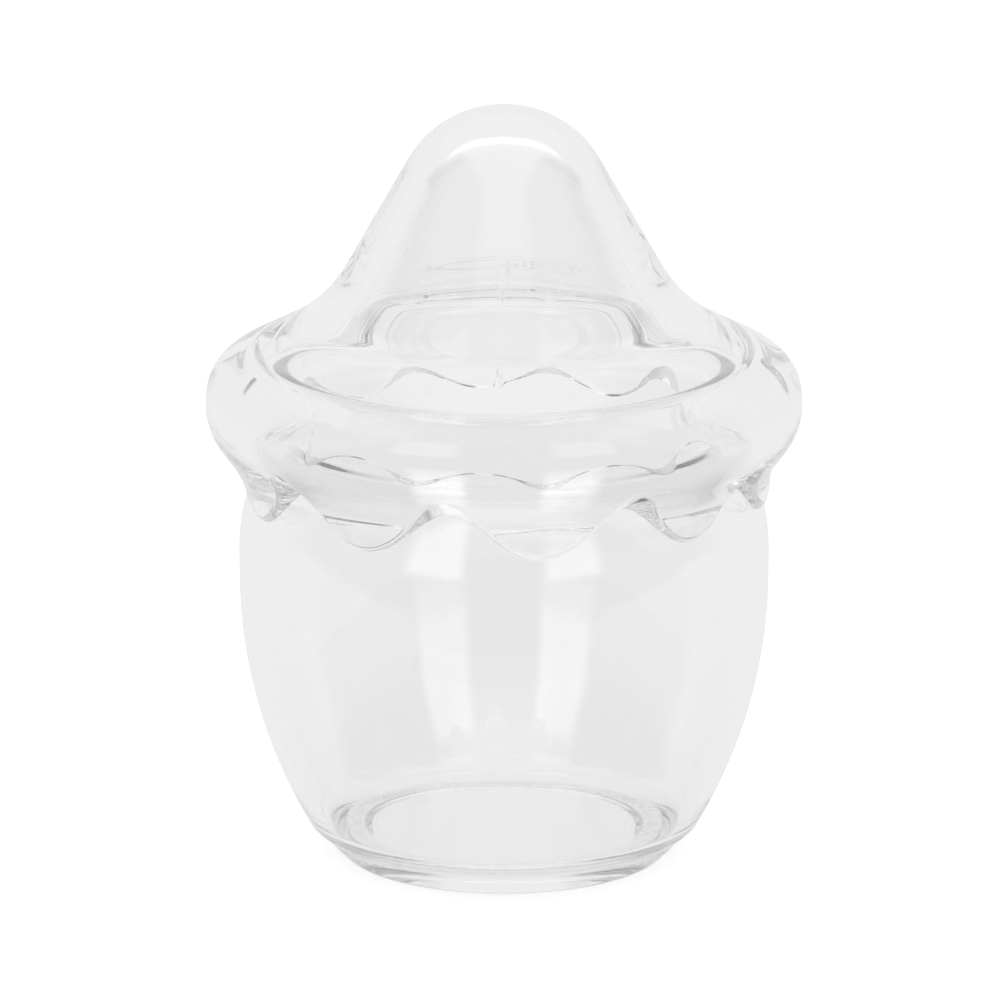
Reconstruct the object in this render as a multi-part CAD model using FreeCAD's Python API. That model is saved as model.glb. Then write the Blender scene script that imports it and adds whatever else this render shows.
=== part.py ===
import FreeCAD, Part
import math
import os

# A small pressed-glass jar with a loose domed lid whose skirt ends in a wavy, icing-like edge.
# Frame: origin at the centre of the foot on the table, +Z up, the front of the jar faces -Y.
# All sizes in millimetres and degrees.

# ---- overall sizes ----
TOP_Z = 114.7               # height of the whole, to the top of the dome
BELLY_R = 40.0              # widest radius of the body

# ---- heights, as shares of the overall height ----
BELLY_Z = 0.3793 * TOP_Z    # the widest ring of the body
SHOULDER_Z = 0.4647 * TOP_Z     # where the body turns in below the lid
WAVE_Z = 0.5092 * TOP_Z     # mean height of the wavy edge at the bore
RIM_Z = 0.6417 * TOP_Z      # top of the fire-polished mouth rim
SHELF_Z = 0.6888 * TOP_Z    # top of the lid's brim, at the shelf radius
INNER_CREASE_Z = 0.721 * TOP_Z  # where the inner dome opens out over the mouth

# ---- radii, tied to the belly ----
FOOT_R = 0.6225 * BELLY_R   # where the foot leaves the table
PUNT_R = 0.5 * BELLY_R      # shallow hollow under the foot
NECK_R = BELLY_R - 4.8      # short upright neck inside the lid, outside
LID_BORE_R = NECK_R + 1.2   # inside of the brim ring, around the neck
BRIM_R = BELLY_R + 4.8      # widest radius of the rolled brim
SHELF_R = BRIM_R - 7.2      # a radius on the sloping top of the brim
INNER_CREASE_R = 0.56 * BELLY_R     # where the inner dome opens out over the mouth

# ---- other sizes of the jar ----
BODY_BOW_R = 1.95 * BELLY_R     # radius of the long arc that forms the body wall
FOOT_H = 4.0                # height of the foot disc, marked by a faint crease
FOOT_FLARE = 0.92           # how far the foot's side runs out per mm of height
CREASE_H = 0.8              # height of the crease between foot and body
PUNT_H = 0.9                # depth of the hollow under the foot
WALL = 3.1                  # wall thickness, body to mouth
FLOOR_T = 4.6               # top of the floor, above the table
HEEL_ROUND = 5.5            # inside rounding between the floor and the wall
SHOULDER_TURN = 24.0        # lean of the shoulder slope, from upright
SHOULDER_ROUND = 28.0       # rounding from the wall into the shoulder slope
NECK_ROUND = 12.0           # rounding from the shoulder slope into the neck

# ---- other sizes of the lid ----
TIP_ROUND = 16.0            # outer rounding of the tip
TIP_FLAT_R = 0.4            # radius of the level spot at the very top
FLANK_LEAN = 30.0           # outer flank of the dome, from upright
CREASE_ROUND = 24.0         # hollow rounding between the dome and the brim
BRIM_SLOPE = 26.5           # top of the brim, below level
BRIM_TOP_SHARE = 0.52       # share of the brim's edge taken by its upper rounding
BRIM_LOW_SHARE = 0.34       # share of the brim's edge taken by its lower rounding
SKIRT_LEAN = 37.0           # underside of the brim, from upright
SKIRT_T = 1.3               # thickness of the skirt at its lowest lobes
KNEE_RISE = 5.0             # upright lower part of the skirt, above its lowest lobes
SKIRT_GAP = 0.1             # gap between the skirt's lowest lobes and the shoulder slope
BORE_ROUND = 3.0            # rounding at the top of the bore
TIP_T = 5.0                 # thickness of the glass in the tip
INNER_LEAN = 27.5           # inner flank of the dome, from upright
INNER_TIP_ROUND = 12.0      # inner rounding of the tip
INNER_CREASE_ROUND = 15.0   # rounding where the inner dome opens out
INNER_SLOPE = 32.0          # slope of the inner side from there to the bore, below level
EDGE_TILT = 30.0            # rise of the wavy edge from its inner to its outer side
EDGE_ROUND_OUT = 0.9        # rounding of the wavy edge, outside
EDGE_ROUND_IN = 0.4         # rounding of the wavy edge, inside

# ---- the wavy edge ----
WAVE_N = 10                 # lobes around the lid
WAVE_A = 3.5                # half the height between lobe tips and arches
WAVE_FLAT = 0.1             # how much blunter the lobe tips are than the arches
WAVE_AZ = 6.8               # first lobe tip, right of the front
DRIFT = 2.0                 # how far the lobes stray from even spacing
DRIFT_N = 3                 # times the straying swings round the lid
DRIFT_AZ = -6.2             # where the straying crosses zero
SECTORS = 8                 # equal sectors the lid is turned in, so that no face wraps round

os.makedirs("parts", exist_ok=True)

ORIGIN = FreeCAD.Vector(0, 0, 0)
UP = FreeCAD.Vector(0, 0, 1)


def tan(degrees):
    """Tangent of an angle in degrees."""
    return math.tan(math.radians(degrees))


def point(r, z):
    """A point of an outline in the XZ plane."""
    return FreeCAD.Vector(r, 0, z)


def rounded(corners):
    """Edges of an open outline: straight runs between corners, each corner eased by its radius."""
    edges = []
    start = point(corners[0][0], corners[0][1])
    for before, corner, after in zip(corners, corners[1:], corners[2:]):
        here = point(corner[0], corner[1])
        back = (point(before[0], before[1]) - here).normalize()
        ahead = (point(after[0], after[1]) - here).normalize()
        turn = math.pi - back.getAngle(ahead)
        run = corner[2] * math.tan(turn / 2)
        reach = corner[2] / math.cos(turn / 2) - corner[2]
        leave = here + back * run
        join = here + ahead * run
        if (leave - start).Length > 1e-6:
            edges.append(Part.makeLine(start, leave))
        if run > 1e-6:
            middle = here + (back + ahead).normalize() * reach
            edges.append(Part.Arc(leave, middle, join).toShape())
        start = join
    end = point(corners[-1][0], corners[-1][1])
    if (end - start).Length > 1e-6:
        edges.append(Part.makeLine(start, end))
    return edges


def smoothed(corners):
    """The same eased outline as one smooth curve, so that it sweeps a single face."""
    curve = Part.BSplineCurve()
    curve.interpolate(Part.Wire(rounded(corners)).discretize(Number=18))
    return [curve.toShape()]


def turned(edges, degrees):
    """Solid swept about the Z axis by outline edges that start and end on the axis."""
    start = edges[0].valueAt(edges[0].FirstParameter)
    end = edges[-1].valueAt(edges[-1].LastParameter)
    face = Part.Face(Part.Wire(edges + [Part.makeLine(end, start)]))
    return face.revolve(ORIGIN, UP, degrees)


def edge_height(azimuth):
    """Height of the wavy edge at an azimuth in degrees, from the front towards the right."""
    stray = DRIFT * math.sin(math.radians(DRIFT_N * (azimuth - DRIFT_AZ)))
    turns = math.radians(WAVE_N * (azimuth - WAVE_AZ - stray))
    return WAVE_Z - WAVE_A * (math.cos(turns) - WAVE_FLAT * math.cos(2 * turns))


def wave_ring(radius):
    """Closed smooth curve that follows the wavy edge on a cylinder of the given radius."""
    samples = 16 * WAVE_N
    rise = (radius - bore_low_r) * tan(EDGE_TILT)
    points = []
    for step in range(samples):
        azimuth = 90 - 360 * step / samples
        x = radius * math.sin(math.radians(azimuth))
        y = -radius * math.cos(math.radians(azimuth))
        points.append(FreeCAD.Vector(x, y, edge_height(azimuth) + rise))
    curve = Part.BSplineCurve()
    curve.interpolate(Points=points, PeriodicFlag=True)
    return curve.toShape()


# ---- jar ----
# Outer wall: a long arc from the foot up to the belly, then a short shoulder and an upright neck.
bow_angle = math.degrees(math.asin((BELLY_Z - FOOT_H - CREASE_H) / BODY_BOW_R))
bow_corner_z = BELLY_Z - BODY_BOW_R * tan(bow_angle / 2)
bow_start_r = BELLY_R - (bow_corner_z - FOOT_H - CREASE_H) * tan(bow_angle)
neck_z = SHOULDER_Z + (BELLY_R - NECK_R) / tan(SHOULDER_TURN)

# Inner wall: the outer wall moved in by the wall thickness, down to a rounded heel and a level floor.
inner_belly_r = BELLY_R - WALL
inner_neck_r = NECK_R - WALL
half_turn = WALL * tan(SHOULDER_TURN / 2)
inner_bow_z = bow_corner_z - WALL * tan(bow_angle / 2)
heel_r = bow_start_r - 0.78 * WALL
heel_lean = math.degrees(math.atan2(inner_belly_r - heel_r, inner_bow_z - FLOOR_T))
heel_run = HEEL_ROUND * tan((90 - heel_lean) / 2)
inner_bow_run = 0.96 * (math.hypot(inner_belly_r - heel_r, inner_bow_z - FLOOR_T) - heel_run)
inner_bow_round = inner_bow_run / tan(heel_lean / 2)
rim_round = 0.49 * WALL

jar_outline = [
    (0, PUNT_H, 0),
    (PUNT_R, PUNT_H, 1.5),
    (PUNT_R + 1.6, 0, 1.5),
    (FOOT_R, 0, 1.0),
    (FOOT_R + FOOT_FLARE * FOOT_H, FOOT_H, 0.8),
    (bow_start_r, FOOT_H + CREASE_H, 0.5),
    (BELLY_R, bow_corner_z, 0.98 * BODY_BOW_R),
    (BELLY_R, SHOULDER_Z, SHOULDER_ROUND),
    (NECK_R, neck_z, NECK_ROUND),
    (NECK_R, RIM_Z, rim_round),
    (inner_neck_r, RIM_Z, rim_round),
    (inner_neck_r, neck_z - half_turn, NECK_ROUND + WALL),
    (inner_belly_r, SHOULDER_Z - half_turn, SHOULDER_ROUND - WALL),
    (inner_belly_r, inner_bow_z, inner_bow_round),
    (heel_r, FLOOR_T, HEEL_ROUND),
    (0, FLOOR_T, 0),
]
jar = turned(rounded(jar_outline), 360)
jar.exportStep("parts/jar.step")

# ---- lid ----
# Outer side: tip, flank, crease, sloping brim top, rolled brim, underside and skirt.
skirt_low_z = WAVE_Z - WAVE_A * (1 - WAVE_FLAT)
shoulder_middle_r = BELLY_R - SHOULDER_ROUND
shoulder_middle_z = SHOULDER_Z - SHOULDER_ROUND * tan(SHOULDER_TURN / 2)
touch_rise = skirt_low_z + EDGE_ROUND_IN - shoulder_middle_z
bore_low_r = shoulder_middle_r + math.sqrt((SHOULDER_ROUND + SKIRT_GAP) ** 2 - touch_rise ** 2)
skirt_r = bore_low_r + SKIRT_T
tip_corner_r = TIP_FLAT_R + TIP_ROUND * tan((90 - FLANK_LEAN) / 2)
shelf_z_on_axis = SHELF_Z + SHELF_R * tan(BRIM_SLOPE)
apex_z = TOP_Z + tip_corner_r / tan(FLANK_LEAN)
crease_r = (apex_z - shelf_z_on_axis) / (1 / tan(FLANK_LEAN) - tan(BRIM_SLOPE))
crease_z = shelf_z_on_axis - crease_r * tan(BRIM_SLOPE)
brim_top_z = shelf_z_on_axis - BRIM_R * tan(BRIM_SLOPE)
skirt_knee_z = skirt_low_z + KNEE_RISE
brim_under_z = skirt_knee_z + (BRIM_R - skirt_r) / tan(SKIRT_LEAN)
brim_edge = brim_top_z - brim_under_z
brim_side_z = brim_under_z + 0.4 * brim_edge
brim_round_top = BRIM_TOP_SHARE * brim_edge / tan((90 - BRIM_SLOPE) / 2)
brim_round_low = BRIM_LOW_SHARE * brim_edge / tan(SKIRT_LEAN / 2)
blank_low_z = skirt_low_z - 4.0

# Inner side: the inner dome, a slope that clears the mouth rim, the bore round the neck.
inner_top_z = TOP_Z - TIP_T
inner_tip_r = INNER_CREASE_R - (inner_top_z - INNER_CREASE_Z) * tan(INNER_LEAN)
bore_top_z = INNER_CREASE_Z - (LID_BORE_R - INNER_CREASE_R) * tan(INNER_SLOPE)
bore_z = bore_top_z - 3.6

dome_inside = [
    (0, inner_top_z, 0),
    (inner_tip_r, inner_top_z, INNER_TIP_ROUND),
    (INNER_CREASE_R, INNER_CREASE_Z, INNER_CREASE_ROUND),
    (LID_BORE_R, bore_top_z, BORE_ROUND),
    (LID_BORE_R, bore_z, 0),
]
skirt_inside = [
    (LID_BORE_R, bore_z, 0),
    (LID_BORE_R, bore_z - 1.5, 10.0),
    (bore_low_r, skirt_low_z + 1.5, 10.0),
    (bore_low_r, blank_low_z, 0),
]
skirt_outside = [
    (skirt_r, blank_low_z, 0),
    (skirt_r, skirt_knee_z, 4.0),
    (BRIM_R, brim_under_z, brim_round_low),
    (BRIM_R, brim_side_z, 0),
]
dome_outside = [
    (BRIM_R, brim_side_z, 0),
    (BRIM_R, brim_top_z, brim_round_top),
    (crease_r, crease_z, CREASE_ROUND),
    (tip_corner_r, TOP_Z, TIP_ROUND),
    (0, TOP_Z, 0),
]
lid_edges = rounded(dome_inside) + smoothed(skirt_inside)
lid_edges.append(Part.makeLine(point(bore_low_r, blank_low_z), point(skirt_r, blank_low_z)))
lid_edges = lid_edges + smoothed(skirt_outside) + rounded(dome_outside)

sectors = []
for index in range(SECTORS):
    sector = turned(lid_edges, 360 / SECTORS)
    sector.rotate(ORIGIN, UP, 360 / SECTORS * index)
    sectors.append(sector)
lid_blank = sectors[0].fuse(sectors[1:])

# The wavy edge: everything below a wavy ring is taken off, then both sides are eased.
wave_face = Part.makeRuledSurface(wave_ring(bore_low_r - 6), wave_ring(BRIM_R + 6))
wave_block = wave_face.extrude(UP * (-4 * WAVE_A - 10))
lid = lid_blank.cut(wave_block).Solids[0]


def wave_edges(solid, inside):
    """Long edges of the wavy cut, on the inner or on the outer side of the skirt."""
    found = []
    for edge in solid.Edges:
        middle = edge.valueAt((edge.FirstParameter + edge.LastParameter) / 2)
        on_inside = math.hypot(middle.x, middle.y) < bore_low_r + SKIRT_T / 2
        low = edge.BoundBox.ZMax < brim_side_z - EDGE_ROUND_OUT
        long = edge.Length > 10 * SKIRT_T
        if low and long and on_inside == inside:
            found.append(edge)
    return found


lid = lid.makeFillet(EDGE_ROUND_OUT, wave_edges(lid, False)).Solids[0]
lid = lid.makeFillet(EDGE_ROUND_IN, wave_edges(lid, True)).Solids[0]
lid.exportStep("parts/lid.step")

for name, shape in (("jar", jar), ("lid", lid)):
    heights = [corner.z for corner in shape.tessellate(0.1)[0]]
    print(name, "valid", shape.isValid(), "solids", len(shape.Solids), "cm3", round(shape.Volume / 1000, 2))
    print(name, "z from", round(min(heights), 2), "to", round(max(heights), 2))
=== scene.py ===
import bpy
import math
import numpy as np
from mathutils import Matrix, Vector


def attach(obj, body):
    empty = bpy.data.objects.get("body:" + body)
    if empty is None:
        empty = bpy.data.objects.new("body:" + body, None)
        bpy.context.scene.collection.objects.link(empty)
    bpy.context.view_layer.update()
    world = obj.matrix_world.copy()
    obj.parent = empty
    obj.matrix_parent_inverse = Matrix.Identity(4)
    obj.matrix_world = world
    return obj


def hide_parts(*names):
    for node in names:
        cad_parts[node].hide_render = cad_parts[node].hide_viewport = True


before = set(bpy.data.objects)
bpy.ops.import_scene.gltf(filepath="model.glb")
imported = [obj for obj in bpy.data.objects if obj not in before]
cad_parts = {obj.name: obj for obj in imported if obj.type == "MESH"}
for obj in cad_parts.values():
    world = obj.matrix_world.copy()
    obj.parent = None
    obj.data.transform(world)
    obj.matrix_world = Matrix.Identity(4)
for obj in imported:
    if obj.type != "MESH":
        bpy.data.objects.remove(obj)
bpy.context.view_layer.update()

# %% [markdown]
# # A small glass jar with a wavy-edged lid
#
# The object is two pieces of clear pressed glass: a round-bodied jar and a loose domed lid.
# Nothing is in the jar. Both could be modelled by hand, but a short list of sizes and a few
# functions give true round forms that are easy to change. They come in the order in which a
# glassmaker would meet them: the mould outlines, the wavy edge, the skin of the glass, and
# then the light it stands in.

MM = 0.001

# %% [markdown]
# ## Sizes
#
# The jar stands on a flat ring around a shallow hollow. Its wall is one long arc up to the
# belly, then turns in over a rounded shoulder to a neck, which the lid hides. The lid is a
# bell with a thick rolled brim and a thin skirt under it. Every curve could be drawn point by
# point, but a few radii and leans carry the whole form and keep both pieces fitting.

# %% Jar sizes, in millimetres and degrees
BELLY_R = 40.0
BELLY_Z = 43.5
BODY_BOW_R = 78.0
FOOT_R = 24.9
FOOT_H = 4.0
FOOT_FLARE = 0.92
FOOT_EDGE_ROUND = 1.0
FOOT_TOP_ROUND = 0.8
CREASE_H = 0.8
BODY_START_ROUND = 0.5
PUNT_R = 20.0
PUNT_H = 0.9
PUNT_FALL = 1.6
PUNT_ROUND = 1.5
WALL = 3.1
FLOOR_T = 4.6
HEEL_R = 27.3
HEEL_ROUND = 5.5
INNER_BOW_Z = 22.0
INNER_BOW_R = 62.0
SHOULDER_Z = 53.3
SHOULDER_TURN = 24.0
SHOULDER_ROUND = 28.0
NECK_R = 35.2
NECK_ROUND = 12.0
RIM_Z = 73.6
RIM_ROUND = 0.49 * WALL
print("jar", 2 * BELLY_R, "mm across and", RIM_Z, "mm to its rim")

# %% Lid sizes, in millimetres and degrees
TOP_Z = 114.7
TIP_ROUND = 16.0
TIP_FLAT_R = 0.4
FLANK_LEAN = 30.0
CREASE_ROUND = 24.0
BRIM_R = 44.8
BRIM_SLOPE = 26.5
SHELF_R = 37.6
SHELF_Z = 79.0
BRIM_ROUND_TOP = 7.5
BRIM_ROUND_LOW = 9.0
SKIRT_LEAN = 37.0
SKIRT_T = 1.3
SKIRT_GAP = 0.1
KNEE_RISE = 5.0
KNEE_ROUND = 4.0
LID_BORE_R = 36.4
BORE_ROUND = 3.0
BORE_RUN = 5.1
BORE_BEND_ROUND = 10.0
BORE_END_RISE = 1.5
TIP_T = 5.0
INNER_LEAN = 27.5
INNER_TIP_ROUND = 12.0
INNER_CREASE_R = 22.4
INNER_CREASE_Z = 82.7
INNER_CREASE_ROUND = 15.0
INNER_SLOPE = 32.0
EDGE_TILT = 30.0
EDGE_ROUND_OUT = 0.9
EDGE_ROUND_IN = 0.4
BLANK_BELOW = 4.0
print("lid", 2 * BRIM_R, "mm across, its tip at", TOP_Z, "mm")

# %% Sizes of the wavy edge: lobes, mean height, swing, flattening and first lobe; then drift
WAVE_N = 10
WAVE_Z = 58.4
WAVE_A = 3.5
WAVE_FLAT = 0.1
WAVE_AZ = 6.8
DRIFT = 2.0
DRIFT_N = 3
DRIFT_AZ = -6.2
print(WAVE_N, "lobes, about", 2 * WAVE_A, "mm deep")

# %% [markdown]
# ## Outlines
#
# A mould outline is a chain of straight runs with eased corners. A hand-drawn curve could
# trace it, but its radii would be lost. A compass eases each corner with an arc that touches
# both runs, and so does this. Molten glass softens the places where an arc meets a run, so
# each outline is then relaxed a little along its length.


# %% Eased corners
def tan(degrees):
    """Tangent of an angle in degrees."""
    return math.tan(math.radians(degrees))


def eased(corners, chord=0.15):
    """Points of an outline: each corner is replaced by an arc of its radius, tangent to both runs.

    The arc starts radius * tan(turn / 2) before the corner and its centre lies along the
    bisector, radius / cos(turn / 2) away. Chord is the rough spacing of its points.
    """
    p = np.array([corner[:2] for corner in corners], float)
    out = [p[:1]]
    for i in range(1, len(p) - 1):
        back = (p[i - 1] - p[i]) / np.linalg.norm(p[i - 1] - p[i])
        ahead = (p[i + 1] - p[i]) / np.linalg.norm(p[i + 1] - p[i])
        turn = math.pi - math.acos(np.clip(back @ ahead, -1, 1))
        radius = corners[i][2]
        bisector = (back + ahead) / np.linalg.norm(back + ahead)
        centre = p[i] + bisector * radius / math.cos(turn / 2)
        x, y = p[i] + back * radius * math.tan(turn / 2) - centre
        sign = 1.0 if back[0] * ahead[1] - back[1] * ahead[0] < 0 else -1.0
        angles = sign * np.linspace(0, turn, max(3, int(radius * turn / chord)))
        c, s = np.cos(angles), np.sin(angles)
        out.append(centre + np.stack([c * x - s * y, s * x + c * y], 1))
    return np.concatenate(out + [p[-1:]])


print("a square corner eased by 5 mm takes", len(eased([(0, 0), (9, 0, 5), (9, 9)])), "points")


# %% Pace along an outline
def paced(points, count, care=0.0):
    """The same outline walked in count points: evenly along its length, or closer where it bends.

    The share care of the points is dealt out by turning, and the rest by length.
    """
    step = np.diff(points, axis=0)
    length = np.linalg.norm(step, axis=1)
    heading = np.unwrap(np.arctan2(step[:, 1], step[:, 0]))
    turning = np.abs(np.gradient(heading)) + 1e-9
    weight = (1 - care) * length / length.sum() + care * turning / turning.sum()
    s = np.concatenate([[0], np.cumsum(weight)])
    stops = np.linspace(0, s[-1], count)
    return np.stack([np.interp(stops, s, points[:, k]) for k in (0, 1)], 1)


def relaxed(points, reach, pace=0.1):
    """The outline softened: a running mean with bell-shaped weights, reach mm to each side.

    The outline is carried on past both ends by its own mirror image, so that the ends stay.
    """
    length = np.linalg.norm(np.diff(points, axis=0), axis=1).sum()
    fine = paced(points, int(length / pace))
    half = int(3 * reach / pace)
    bell = np.exp(-0.5 * (np.arange(-half, half + 1) * pace / reach) ** 2)
    bell = bell / bell.sum()
    before = 2 * fine[0] - fine[1:half + 1][::-1]
    after = 2 * fine[-1] - fine[-half - 1:-1][::-1]
    long = np.concatenate([before, fine, after])
    return np.stack([np.convolve(long[:, k], bell, "valid") for k in (0, 1)], 1)


square = relaxed(eased([(0, 0), (9, 0, 5), (9, 9)]), 0.25)
print("relaxed, its ends stay at", np.round(square[0], 2), "and", np.round(square[-1], 2))

# %% [markdown]
# ## The jar's outline
#
# The outline runs from the centre of the underside, round the foot, up the outer wall, over
# the fire-polished rim and back down inside to the level floor. The inner wall could be the
# outer one moved in by the wall thickness, but a plunger shapes it, and a plunger has a bow
# of its own and a rounded heel. So the two walls run side by side only above the belly, and
# the glass is thicker at the heel.

# %% Jar outline
body_z = FOOT_H + CREASE_H
bow_angle = math.degrees(math.asin((BELLY_Z - body_z) / BODY_BOW_R))
bow_corner_z = BELLY_Z - BODY_BOW_R * tan(bow_angle / 2)
bow_start_r = BELLY_R - (bow_corner_z - body_z) * tan(bow_angle)
neck_z = SHOULDER_Z + (BELLY_R - NECK_R) / tan(SHOULDER_TURN)
half_turn = WALL * tan(SHOULDER_TURN / 2)
BOW_SHARE = 0.98
JAR_SOFT = 0.25

jar_line = relaxed(eased([
    (0, PUNT_H, 0),
    (PUNT_R, PUNT_H, PUNT_ROUND),
    (PUNT_R + PUNT_FALL, 0, PUNT_ROUND),
    (FOOT_R, 0, FOOT_EDGE_ROUND),
    (FOOT_R + FOOT_FLARE * FOOT_H, FOOT_H, FOOT_TOP_ROUND),
    (bow_start_r, body_z, BODY_START_ROUND),
    (BELLY_R, bow_corner_z, BOW_SHARE * BODY_BOW_R),
    (BELLY_R, SHOULDER_Z, SHOULDER_ROUND),
    (NECK_R, neck_z, NECK_ROUND),
    (NECK_R, RIM_Z, RIM_ROUND),
    (NECK_R - WALL, RIM_Z, RIM_ROUND),
    (NECK_R - WALL, neck_z - half_turn, NECK_ROUND + WALL),
    (BELLY_R - WALL, SHOULDER_Z - half_turn, SHOULDER_ROUND - WALL),
    (BELLY_R - WALL, INNER_BOW_Z, INNER_BOW_R),
    (HEEL_R, FLOOR_T, HEEL_ROUND),
    (0, FLOOR_T, 0),
]), JAR_SOFT)
print("jar outline", len(jar_line), "points, widest", round(jar_line[:, 0].max(), 2), "mm")

# %% [markdown]
# ## The lid's outlines
#
# The lid has an inner and an outer outline. Both run on below the skirt, and the wavy edge
# then decides where each is cut. A groove or a ledge could hold such a lid, but a plain one
# is enough here: the skirt's bore ends a hair outside the round of the jar's shoulder, so the
# lobes come to rest on it and centre the lid, while the inner slope stays clear of the rim.

# %% Where the lid's corners fall
skirt_low_z = WAVE_Z - WAVE_A * (1 - WAVE_FLAT)
shoulder_r = BELLY_R - SHOULDER_ROUND
shoulder_z = SHOULDER_Z - SHOULDER_ROUND * tan(SHOULDER_TURN / 2)
touch_rise = skirt_low_z + EDGE_ROUND_IN - shoulder_z
bore_low_r = shoulder_r + math.sqrt((SHOULDER_ROUND + SKIRT_GAP) ** 2 - touch_rise ** 2)
skirt_r = bore_low_r + SKIRT_T
tip_corner_r = TIP_FLAT_R + TIP_ROUND * tan((90 - FLANK_LEAN) / 2)
shelf_axis_z = SHELF_Z + SHELF_R * tan(BRIM_SLOPE)
apex_z = TOP_Z + tip_corner_r / tan(FLANK_LEAN)
crease_r = (apex_z - shelf_axis_z) / (1 / tan(FLANK_LEAN) - tan(BRIM_SLOPE))
crease_z = shelf_axis_z - crease_r * tan(BRIM_SLOPE)
brim_top_z = shelf_axis_z - BRIM_R * tan(BRIM_SLOPE)
skirt_knee_z = skirt_low_z + KNEE_RISE
brim_under_z = skirt_knee_z + (BRIM_R - skirt_r) / tan(SKIRT_LEAN)
inner_top_z = TOP_Z - TIP_T
inner_tip_r = INNER_CREASE_R - (inner_top_z - INNER_CREASE_Z) * tan(INNER_LEAN)
bore_top_z = INNER_CREASE_Z - (LID_BORE_R - INNER_CREASE_R) * tan(INNER_SLOPE)
blank_low_z = skirt_low_z - BLANK_BELOW
print("bore", round(bore_low_r, 2), "mm at its end, skirt", round(skirt_r, 2), "mm outside")

# %% Lid outlines
LID_SOFT_IN, LID_SOFT_OUT = 0.6, 0.8
lid_inside = relaxed(eased([
    (0, inner_top_z, 0),
    (inner_tip_r, inner_top_z, INNER_TIP_ROUND),
    (INNER_CREASE_R, INNER_CREASE_Z, INNER_CREASE_ROUND),
    (LID_BORE_R, bore_top_z, BORE_ROUND),
    (LID_BORE_R, bore_top_z - BORE_RUN, BORE_BEND_ROUND),
    (bore_low_r, skirt_low_z + BORE_END_RISE, BORE_BEND_ROUND),
    (bore_low_r, blank_low_z, 0),
]), LID_SOFT_IN)
lid_outside = relaxed(eased([
    (skirt_r, blank_low_z, 0),
    (skirt_r, skirt_knee_z, KNEE_ROUND),
    (BRIM_R, brim_under_z, BRIM_ROUND_LOW),
    (BRIM_R, brim_top_z, BRIM_ROUND_TOP),
    (crease_r, crease_z, CREASE_ROUND),
    (tip_corner_r, TOP_Z, TIP_ROUND),
    (0, TOP_Z, 0),
]), LID_SOFT_OUT)
print("lid: brim", round(lid_outside[:, 0].max(), 2), "mm, top of the bore", round(bore_top_z, 2))

# %% [markdown]
# ## The wavy edge
#
# Ten rounded lobes hang from the brim like icing. Their spacing strays by a couple of
# degrees, as hand-cut mould work does. A cutting tool could be swept round the lid, but the
# edge is simpler as a function: its height is a cosine of the azimuth, a little flattened at
# the tips, and the straying is a slower sine inside it. The cut rises outward like a bevel,
# and its two corners are eased.


# %% Edge height
def edge_height(azimuth):
    """Mean height less a cosine of the lobe count times the strayed azimuth.

    A small share of the cosine of twice that angle flattens the low tips of the lobes.
    """
    stray = DRIFT * np.sin(np.radians(DRIFT_N * (azimuth - DRIFT_AZ)))
    turns = np.radians(WAVE_N * (azimuth - WAVE_AZ - stray))
    return WAVE_Z - WAVE_A * (np.cos(turns) - WAVE_FLAT * np.cos(2 * turns))


LID_EVEN = 440
SEAMS = (-1.2, 178.8)
SEAM_ZONE = 1.6
SEAM_STEPS = 21
even = np.arange(LID_EVEN) * 360 / LID_EVEN
fine = [place + np.linspace(-SEAM_ZONE, SEAM_ZONE, SEAM_STEPS) for place in SEAMS]
azimuth = np.unique(np.round(np.concatenate([even, np.concatenate(fine) % 360]), 4))
cut = edge_height(azimuth)
print(len(azimuth), "azimuths, edge from", round(cut.min(), 2), "to", round(cut.max(), 2), "mm")

# %% Heads and skirt: above the band both outlines are whole, below it they meet the cut
BAND_BELOW = 3.6
band_z = bore_top_z - BAND_BELOW
upper_in = lid_inside[lid_inside[:, 1] > band_z]
lower_in = lid_inside[lid_inside[:, 1] <= band_z]
lower_out = lid_outside[(lid_outside[:, 1] <= band_z) & (lid_outside[:, 0] > bore_low_r)]
upper_out = lid_outside[len(lower_out):]
print("band at", round(band_z, 2), "mm")


def inner_point(z):
    """Points (radius, height) of the inner outline at heights z in the skirt."""
    return np.stack([np.interp(z, lower_in[::-1, 1], lower_in[::-1, 0]), z], -1)


def outer_point(z):
    """Points (radius, height) of the outer outline at heights z in the skirt."""
    return np.stack([np.interp(z, lower_out[:, 1], lower_out[:, 0]), z], -1)


# %% The bevelled cut
def cut_height(outline, level):
    """Height at which an outline crosses a cut that rises outward from the level at the bore.

    The outline is lowered by the cut's rise at each radius, and there the cut is level.
    """
    lowered = outline[:, 1] - (outline[:, 0] - bore_low_r) * tan(EDGE_TILT)
    order = np.argsort(lowered)
    return np.interp(level, lowered[order], outline[order, 1])


def bend(start, corner, end, count):
    """A soft corner: the curve (1-t)^2 start + 2t(1-t) corner + t^2 end, for whole arrays."""
    t = np.linspace(0, 1, count)[None, :, None]
    return (1 - t) ** 2 * start[:, None] + 2 * t * (1 - t) * corner[:, None] + t ** 2 * end[:, None]


ROUND_STEPS_IN, ROUND_STEPS_OUT = 7, 12
cut_in, cut_out = cut_height(lower_in, cut), cut_height(lower_out, cut)
corner_in, corner_out = inner_point(cut_in), outer_point(cut_out)
across = corner_out - corner_in
slope = across / np.linalg.norm(across, axis=1, keepdims=True)
round_in = bend(inner_point(cut_in + EDGE_ROUND_IN), corner_in,
                corner_in + slope * EDGE_ROUND_IN, ROUND_STEPS_IN)
round_out = bend(corner_out - slope * EDGE_ROUND_OUT, corner_out,
                 outer_point(cut_out + EDGE_ROUND_OUT), ROUND_STEPS_OUT)
print("the cut rises", round((cut_out - cut_in).mean(), 2), "mm from bore to outside")

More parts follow.
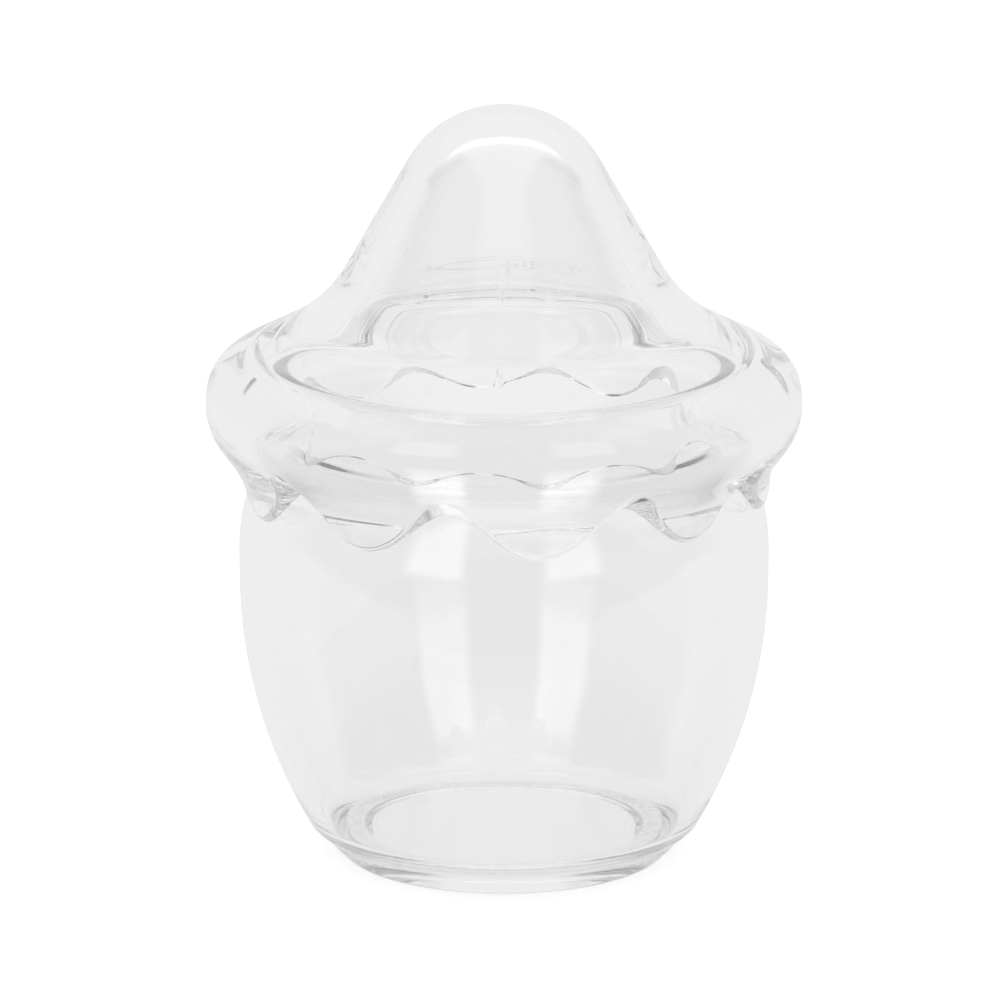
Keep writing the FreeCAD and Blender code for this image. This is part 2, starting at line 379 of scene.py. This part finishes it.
# %% The lid's sections, from the inner top over the edge to the outer top
SIDE_STEPS_IN, SIDE_STEPS_OUT = 24, 26
HEAD_STEPS_IN, HEAD_STEPS_OUT, HEAD_CARE = 62, 72, 0.5
t_in = np.linspace(0, 1, SIDE_STEPS_IN)[None, :]
t_out = np.linspace(0, 1, SIDE_STEPS_OUT)[None, :]
side_in = inner_point(band_z + (cut_in[:, None] + EDGE_ROUND_IN - band_z) * t_in)
side_out_low = cut_out[:, None] + EDGE_ROUND_OUT
side_out = outer_point(side_out_low + (band_z - side_out_low) * t_out)
head_in = paced(upper_in, HEAD_STEPS_IN, HEAD_CARE)
head_out = paced(upper_out, HEAD_STEPS_OUT, HEAD_CARE)
head_in, head_out = (np.repeat(head[None], len(azimuth), 0) for head in (head_in, head_out))
lid_sections = np.concatenate([head_in, side_in[:, 1:-1], round_in, round_out,
                               side_out[:, 1:-1], head_out], 1)
print("lid sections", lid_sections.shape)

# %% [markdown]
# ## The skin of the glass
#
# Pressed glass is never quite true: the plunger chills it and leaves slow, shallow waves of
# a few hundredths of a millimetre, which make the lines seen through it wander. The mould's
# two halves leave a fine ridge up the dome at front and back. A shader could fake both, but
# real relief bends what is seen through the glass, so the surface itself is moved.


# %% Slow waves
WAVES_AROUND = (2, 3, 5, 7, 11, 16)
WAVE_PITCH = (28, 80)
USUAL_SUM = 1.8


def slow_waves(azimuth_deg, height, seed, size):
    """Sum of a few cosines in azimuth and height, each with its own pitch and phase.

    The faster ones are weaker, by one over the root of their count. Size is in mm.
    """
    rng = np.random.default_rng(seed)
    a = np.radians(azimuth_deg)
    total = np.zeros(np.broadcast(a, height).shape)
    for around in WAVES_AROUND:
        pitch = rng.uniform(*WAVE_PITCH)
        phase_a, phase_z = rng.uniform(0, 2 * np.pi, 2)
        along = np.cos(2 * np.pi * height / pitch + phase_z)
        total = total + np.cos(around * a + phase_a) * along / around ** 0.5
    return size * total / USUAL_SUM


RELIEF = 0.02
JAR_SEED, LID_SEED = 3, 8
sample = slow_waves(np.arange(360)[:, None], np.arange(70), JAR_SEED, RELIEF)
print("slow waves reach", round(np.abs(sample).max(), 3), "mm")


# %% Where the waves lie, and which way is out
def between(height, low, high, fade):
    """1 between two heights and 0 outside them, with a straight fade over fade mm inside."""
    return np.clip((height - low) / fade, 0, 1) * np.clip((high - height) / fade, 0, 1)


def outward(sections):
    """Unit normals of each section in its own plane, to the right of the way it runs."""
    step = np.gradient(sections, axis=1)
    step = step / np.maximum(np.linalg.norm(step, axis=2, keepdims=True), 1e-9)
    return np.stack([step[..., 1], -step[..., 0]], -1)


# %% Mould seam
SEAM_WIDTH = 0.3
SEAM_RISE = 0.09


def seam_ridge(azimuth_deg, radius, place):
    """A fine rounded ridge at one azimuth: rise times a bell curve of the distance from it."""
    away = np.radians((azimuth_deg - place + 180) % 360 - 180) * radius
    return SEAM_RISE * np.exp(-(away / SEAM_WIDTH) ** 2)


print("the seam is", SEAM_RISE, "mm high and fades", SEAM_WIDTH, "mm to each side")

# %% [markdown]
# ## From sections to solid glass
#
# A modifier could spin one outline, but the lid's sections differ all the way round. So a
# section is laid at every azimuth, and neighbours are joined by four-sided faces. The first
# and last point of each section lie on the axis and are one shared point there, so each
# piece is a single closed skin with its faces outward, as glass needs to bend light.


# %% Turn sections into a mesh
def turned_mesh(name, sections, azimuths):
    """Closed mesh from sections (azimuth, step, [radius, height]) in mm, ends on the axis.

    Azimuth 0 faces the front: x = radius * sin, y = -radius * cos.
    """
    around, steps = sections.shape[:2]
    a = np.radians(azimuths)[:, None]
    r, z = sections[..., 0], sections[..., 1]
    ring = np.stack([r * np.sin(a), -r * np.cos(a), z], -1)[:, 1:-1]
    poles = [[0, 0, z[:, 0].mean()], [0, 0, z[:, -1].mean()]]
    points = np.concatenate([ring.reshape(-1, 3), poles]) * MM
    inner = steps - 2
    i = np.arange(around)[:, None] * inner
    j = np.arange(inner - 1)[None, :]
    k = (np.arange(around)[:, None] + 1) % around * inner
    quads = np.stack([i + j, k + j, k + j + 1, i + j + 1], -1).reshape(-1, 4)
    i, k = i[:, 0], k[:, 0]
    first, last = around * inner, around * inner + 1
    low = np.stack([np.full(around, first), k, i], -1)
    high = np.stack([np.full(around, last), i + inner - 1, k + inner - 1], -1)
    mesh = bpy.data.meshes.new(name)
    mesh.from_pydata(points.tolist(), [], quads.tolist() + low.tolist() + high.tolist())
    mesh.polygons.foreach_set("use_smooth", np.ones(len(mesh.polygons), bool))
    mesh.update()
    piece = bpy.data.objects.new(name, mesh)
    bpy.context.scene.collection.objects.link(piece)
    print(name, len(mesh.polygons), "faces")
    return piece


# %% Jar: waved between foot and rim
JAR_AROUND = 320
JAR_STEPS = 305
JAR_CARE = 0.6
JAR_WAVED = (3, 72, 6)
jar_azimuth = np.arange(JAR_AROUND) * 360 / JAR_AROUND
jar_sections = np.repeat(paced(jar_line, JAR_STEPS, JAR_CARE)[None], JAR_AROUND, 0)
jar_height = jar_sections[..., 1]
jar_relief = slow_waves(jar_azimuth[:, None], jar_height, JAR_SEED, RELIEF)
jar_relief = jar_relief * between(jar_height, *JAR_WAVED)
jar_sections = jar_sections + outward(jar_sections) * jar_relief[..., None]
jar = turned_mesh("jar_glass", jar_sections, jar_azimuth)

# %% Lid: waved below its tip, with the seam on the outside from the brim up
SEAM_ROWS = HEAD_STEPS_OUT + 24
SEAM_HELD = (77, 112.5, 3)
TIP_CALM, TIP_FADE = 112, 10
lid_height = lid_sections[..., 1]
lid_rows = lid_sections.shape[1]
lid_relief = slow_waves(azimuth[:, None], lid_height, LID_SEED, RELIEF)
lid_relief = lid_relief * np.clip((TIP_CALM - lid_height) / TIP_FADE, 0, 1)
outside = np.arange(lid_rows) > lid_rows - SEAM_ROWS
seam_zone = between(lid_height, *SEAM_HELD) * outside
for place in SEAMS:
    lid_relief = lid_relief + seam_ridge(azimuth[:, None], lid_sections[..., 0], place) * seam_zone
lid_sections = lid_sections + outward(lid_sections) * lid_relief[..., None]
lid = turned_mesh("lid_glass", lid_sections, azimuth)

# %% [markdown]
# ## Glass
#
# Clear soda-lime glass bends light by 1.5 and takes a trace of it on the way through thick
# places. A plain glass shader would do for a new jar. A used foot is scuffed where it slides
# on the table, and the skin is very slightly uneven, so roughness and a faint bump follow
# noise in the object's own coordinates, and a thin absorbing volume gives the trace.


# %% Shading helpers
def calc(nodes, links, operation, first, second):
    """One arithmetic step on two values, each a socket or a number."""
    step = nodes.new("ShaderNodeMath")
    step.operation = operation
    for socket, value in zip(step.inputs, (first, second)):
        if isinstance(value, (int, float)):
            socket.default_value = value
        else:
            links.new(value, socket)
    return step.outputs[0]


def ease(nodes, links, value, low, high, at_low=0.0, at_high=1.0, curve="SMOOTHSTEP"):
    """at_low below low, at_high above high, and an S-curve or a straight line between."""
    step = nodes.new("ShaderNodeMapRange")
    step.interpolation_type = curve
    levels = {"From Min": low, "From Max": high, "To Min": at_low, "To Max": at_high}
    for name, number in levels.items():
        step.inputs[name].default_value = number
    links.new(value, step.inputs["Value"])
    return step.outputs["Result"]


def noise(nodes, links, place, scale, detail):
    """Cloudy noise from 0 to 1 over the given coordinates; scale is in clouds per metre."""
    cloud = nodes.new("ShaderNodeTexNoise")
    cloud.inputs["Scale"].default_value = scale
    cloud.inputs["Detail"].default_value = detail
    links.new(place, cloud.inputs["Vector"])
    return cloud.outputs["Fac"]


# %% Glass material
GLASS_BENDS = 1.5
SCUFF_FROM, SCUFF_TO, SCUFF_ROUGH = 0.15 * MM, 0.6 * MM, 0.5
TRACE_COLOR, TRACE_DENSITY = (0.55, 0.58, 0.57, 1), 2.0
GRAIN_SCALE, GRAIN_DETAIL = 900.0, 4.0
RIPPLE_SCALE, RIPPLE_DETAIL = 70.0, 1.0
RIPPLE_STRENGTH, RIPPLE_DEPTH = 0.06, 0.4 * MM


def glass_material(name):
    """Clear glass: constant index, scuffed foot, faint bump and a thin absorbing volume."""
    mat = bpy.data.materials.new(name)
    mat.use_nodes = True
    nodes, links = mat.node_tree.nodes, mat.node_tree.links
    nodes.clear()
    out = nodes.new("ShaderNodeOutputMaterial")
    skin = nodes.new("ShaderNodeBsdfPrincipled")
    skin.inputs["Base Color"].default_value = (1, 1, 1, 1)
    skin.inputs["Transmission Weight"].default_value = 1.0
    skin.inputs["IOR"].default_value = GLASS_BENDS
    place = nodes.new("ShaderNodeTexCoord").outputs["Object"]
    split = nodes.new("ShaderNodeSeparateXYZ")
    links.new(place, split.inputs[0])
    foot = ease(nodes, links, split.outputs["Z"], SCUFF_FROM, SCUFF_TO, 1.0, 0.0, "LINEAR")
    grain = noise(nodes, links, place, GRAIN_SCALE, GRAIN_DETAIL)
    scuff = calc(nodes, links, "MULTIPLY", foot, grain)
    links.new(calc(nodes, links, "MULTIPLY", scuff, SCUFF_ROUGH), skin.inputs["Roughness"])
    bump = nodes.new("ShaderNodeBump")
    bump.inputs["Strength"].default_value = RIPPLE_STRENGTH
    bump.inputs["Distance"].default_value = RIPPLE_DEPTH
    ripple = noise(nodes, links, place, RIPPLE_SCALE, RIPPLE_DETAIL)
    links.new(ripple, bump.inputs["Height"])
    links.new(bump.outputs["Normal"], skin.inputs["Normal"])
    links.new(skin.outputs["BSDF"], out.inputs["Surface"])
    trace = nodes.new("ShaderNodeVolumeAbsorption")
    trace.inputs["Color"].default_value = TRACE_COLOR
    trace.inputs["Density"].default_value = TRACE_DENSITY
    links.new(trace.outputs["Volume"], out.inputs["Volume"])
    return mat


clear = glass_material("clear glass")
for piece, node in ((jar, "jar"), (lid, "lid")):
    piece.data.materials.append(clear)
    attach(piece, "root")
    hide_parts(node)
print(clear.name, "on", jar.name, "and", lid.name)

# %% [markdown]
# ## The table
#
# The jar stands on a pale table, which ends a hand's length in front of it. Clear glass shows
# only what it bends and mirrors, so the table is half of its paint: seen through the walls,
# it gives the body its even light grey. A matt sheet alone would do under a strong lamp. Here
# it also glows a little, for the eye so that the ground is white, and for bent and mirrored
# rays so that the glass shows the same ground. Its matt part still takes the jar's shadow.


# %% Kinds of ray
def either(nodes, links, names):
    """1 for a ray of any of the named kinds, else 0."""
    path = nodes.new("ShaderNodeLightPath")
    total = path.outputs[names[0]]
    for name in names[1:]:
        total = calc(nodes, links, "MAXIMUM", total, path.outputs[name])
    return total


def choice(nodes, links, share, first, second):
    """A mix of two shaders: the first at share 0, the second at share 1."""
    mix = nodes.new("ShaderNodeMixShader")
    links.new(share, mix.inputs["Fac"])
    links.new(first, mix.inputs[1])
    links.new(second, mix.inputs[2])
    return mix.outputs[0]


# %% Table
TABLE_HALF = 6.0
TABLE_EDGE = 0.16
TABLE_MATT = (0.5, 0.5, 0.5, 1)
TABLE_SEEN = 0.8
TABLE_BENT = 0.98
TABLE_BENT_SHARE = 0.8
near, far = -TABLE_EDGE, TABLE_HALF
left, right = -TABLE_HALF, TABLE_HALF
corners = [(left, near, 0), (right, near, 0), (right, far, 0), (left, far, 0)]
table_mesh = bpy.data.meshes.new("table")
table_mesh.from_pydata(corners, [], [(0, 1, 2, 3)])
table = bpy.data.objects.new("table", table_mesh)
bpy.context.scene.collection.objects.link(table)

paper = bpy.data.materials.new("white table")
paper.use_nodes = True
nodes, links = paper.node_tree.nodes, paper.node_tree.links
nodes.clear()
paper_out = nodes.new("ShaderNodeOutputMaterial")
matt = nodes.new("ShaderNodeBsdfDiffuse")
matt.inputs["Color"].default_value = TABLE_MATT
glow = nodes.new("ShaderNodeEmission")
seen = calc(nodes, links, "MULTIPLY", either(nodes, links, ["Is Camera Ray"]), TABLE_SEEN)
links.new(seen, glow.inputs["Strength"])
both = nodes.new("ShaderNodeAddShader")
links.new(matt.outputs[0], both.inputs[0])
links.new(glow.outputs[0], both.inputs[1])
bent = nodes.new("ShaderNodeEmission")
bent.inputs["Strength"].default_value = TABLE_BENT
share = either(nodes, links, ["Is Glossy Ray", "Is Transmission Ray"])
share = calc(nodes, links, "MULTIPLY", share, TABLE_BENT_SHARE)
table_look = choice(nodes, links, share, both.outputs[0], bent.outputs[0])
links.new(table_look, paper_out.inputs["Surface"])
table_mesh.materials.append(paper)
print("table ends", round(TABLE_EDGE / MM), "mm in front of the jar's axis")

# %% [markdown]
# ## The room
#
# The room is the other half of the paint. It could be built from lamps and cards, but as a
# world it is a few soft steps in the direction a ray leaves by. The wall behind the jar is
# bright and the ceiling too. The room in front is dark for light that comes through the
# glass, and so are the upper side walls: wherever thick or steep glass bends the view that
# way, a dark stroke appears, and these strokes draw the brim, the wavy edge and the foot. Two
# tall windows in front lay the long bright patches on the body. A ray straight from the eye
# sees plain white.

# %% Directions and the two walls
ROOM_BACK = 0.87
ROOM_FRONT = 0.42
ROOM_DARK = 0.03
BACK_FROM, BACK_TO = -0.05, 0.45
room = bpy.data.worlds.new("room")
bpy.context.scene.world = room
room.use_nodes = True
nodes, links = room.node_tree.nodes, room.node_tree.links
nodes.clear()
split = nodes.new("ShaderNodeSeparateXYZ")
links.new(nodes.new("ShaderNodeTexCoord").outputs["Generated"], split.inputs[0])
east, north, up = split.outputs
mirrored = either(nodes, links, ["Is Glossy Ray"])
front = calc(nodes, links, "MULTIPLY", mirrored, ROOM_FRONT)
front = calc(nodes, links, "ADD", front, ROOM_DARK)
towards_back = ease(nodes, links, north, BACK_FROM, BACK_TO)
towards_front = calc(nodes, links, "SUBTRACT", 1.0, towards_back)
light = calc(nodes, links, "MULTIPLY", towards_back, ROOM_BACK)
light = calc(nodes, links, "ADD", light, calc(nodes, links, "MULTIPLY", towards_front, front))
print("back wall", ROOM_BACK, "front", ROOM_DARK, "and in a reflection", ROOM_FRONT, "more")

# %% Ceiling and dark upper sides
CEILING_BENT = 0.84
CEILING_MIRRORED = 0.2
CEILING_FROM, CEILING_TO = 0.4, 0.65
SIDE_SHADE = 0.92
SIDE_FROM, SIDE_TO = 0.3, 0.5
SIDE_UP_FROM, SIDE_UP_TO = 0.2, 0.4
SIDE_ENDS_FROM, SIDE_ENDS_TO = 0.4, 0.65
ceiling = calc(nodes, links, "MULTIPLY", mirrored, CEILING_MIRRORED)
ceiling = calc(nodes, links, "ADD", ceiling, CEILING_BENT)
overhead = ease(nodes, links, up, CEILING_FROM, CEILING_TO)
light = calc(nodes, links, "MAXIMUM", light, calc(nodes, links, "MULTIPLY", ceiling, overhead))
sideways = calc(nodes, links, "ABSOLUTE", east, 0.0)
sideways = ease(nodes, links, sideways, SIDE_FROM, SIDE_TO)
upper = ease(nodes, links, up, SIDE_UP_FROM, SIDE_UP_TO)
ends = ease(nodes, links, north, SIDE_ENDS_FROM, SIDE_ENDS_TO, 1.0, 0.0)
shade = calc(nodes, links, "MULTIPLY", sideways, upper)
shade = calc(nodes, links, "MULTIPLY", shade, SIDE_SHADE)
shade = calc(nodes, links, "MULTIPLY", shade, ends)
shade = calc(nodes, links, "MULTIPLY", shade, either(nodes, links, ["Is Transmission Ray"]))
light = calc(nodes, links, "MULTIPLY", light, calc(nodes, links, "SUBTRACT", 1.0, shade))
print("ceiling", CEILING_BENT, "sides down to", round(1 - SIDE_SHADE, 2), "of their light")

# %% Windows
WINDOW_SIDE = 31
WINDOW_HALF = 0.22
WINDOW_LOW, WINDOW_HIGH = 0.1, 0.7
WINDOW_EDGE = 0.06
WINDOW_GAINS = (1.6, 1.4)


def soft_window(azimuth_deg, gain):
    """Extra light in a soft-edged upright rectangle of the room's wall, seen from the jar.

    Across is the sideways distance over the forward distance; rise is height over forward.
    """
    s, c = math.sin(math.radians(azimuth_deg)), math.cos(math.radians(azimuth_deg))
    forward = calc(nodes, links, "ADD", calc(nodes, links, "MULTIPLY", east, s),
                   calc(nodes, links, "MULTIPLY", north, -c))
    side = calc(nodes, links, "ADD", calc(nodes, links, "MULTIPLY", east, c),
                calc(nodes, links, "MULTIPLY", north, s))
    ahead = calc(nodes, links, "MAXIMUM", forward, 0.001)
    across = calc(nodes, links, "DIVIDE", side, ahead)
    across = calc(nodes, links, "ABSOLUTE", across, 0.0)
    rise = calc(nodes, links, "DIVIDE", up, ahead)
    inside = calc(nodes, links, "GREATER_THAN", forward, 0.01)
    for value, edge, below, above in ((across, WINDOW_HALF, 1.0, 0.0),
                                      (rise, WINDOW_LOW, 0.0, 1.0),
                                      (rise, WINDOW_HIGH, 1.0, 0.0)):
        step = ease(nodes, links, value, edge - WINDOW_EDGE, edge + WINDOW_EDGE, below, above)
        inside = calc(nodes, links, "MULTIPLY", inside, step)
    return calc(nodes, links, "MULTIPLY", inside, gain)


for azimuth_deg, gain in zip((-WINDOW_SIDE, WINDOW_SIDE), WINDOW_GAINS):
    light = calc(nodes, links, "ADD", light, soft_window(azimuth_deg, gain))
print("windows", WINDOW_SIDE, "degrees to either side of the front")

# %% Walls into the world
wall = nodes.new("ShaderNodeBackground")
white = nodes.new("ShaderNodeBackground")
for paint in (wall, white):
    paint.inputs["Color"].default_value = (1, 1, 1, 1)
links.new(light, wall.inputs["Strength"])
eye = either(nodes, links, ["Is Camera Ray"])
room_out = nodes.new("ShaderNodeOutputWorld")
room_look = choice(nodes, links, eye, wall.outputs[0], white.outputs[0])
links.new(room_look, room_out.inputs["Surface"])
print("room built from", len(nodes), "nodes")

# %% [markdown]
# ## Camera
#
# Small objects are usually shown from a little above the shoulder. A near camera would
# stretch the brim towards the eye, so this is a long lens further off. It aims at the jar's
# middle, and a small shift settles the jar in the frame. A ray may cross eight skins of
# glass and bounce many times inside the thick brim, and one that is given up too early comes
# out black, so many bounces are allowed.

# %% Camera
ELEVATION = 14.5
DISTANCE = 0.9
AIM = Vector((0, 0, 0.057))
SENSOR_MM, LENS_MM = 36, 215.0
SHIFT = (-0.004, -0.0172)
BOUNCES = 96
lens = bpy.data.cameras.new("camera")
lens.sensor_width = SENSOR_MM
lens.lens = LENS_MM
lens.shift_x, lens.shift_y = SHIFT
camera = bpy.data.objects.new("camera", lens)
tilt = math.radians(ELEVATION)
camera.location = AIM + Vector((0, -DISTANCE * math.cos(tilt), DISTANCE * math.sin(tilt)))
camera.rotation_euler = (math.pi / 2 - tilt, 0, 0)
scene = bpy.context.scene
scene.collection.objects.link(camera)
scene.camera = camera
scene.view_settings.view_transform = "Standard"
scene.cycles.max_bounces = BOUNCES
scene.cycles.transmission_bounces = BOUNCES
scene.cycles.glossy_bounces = BOUNCES
print("camera", DISTANCE, "m away,", ELEVATION, "degrees up")
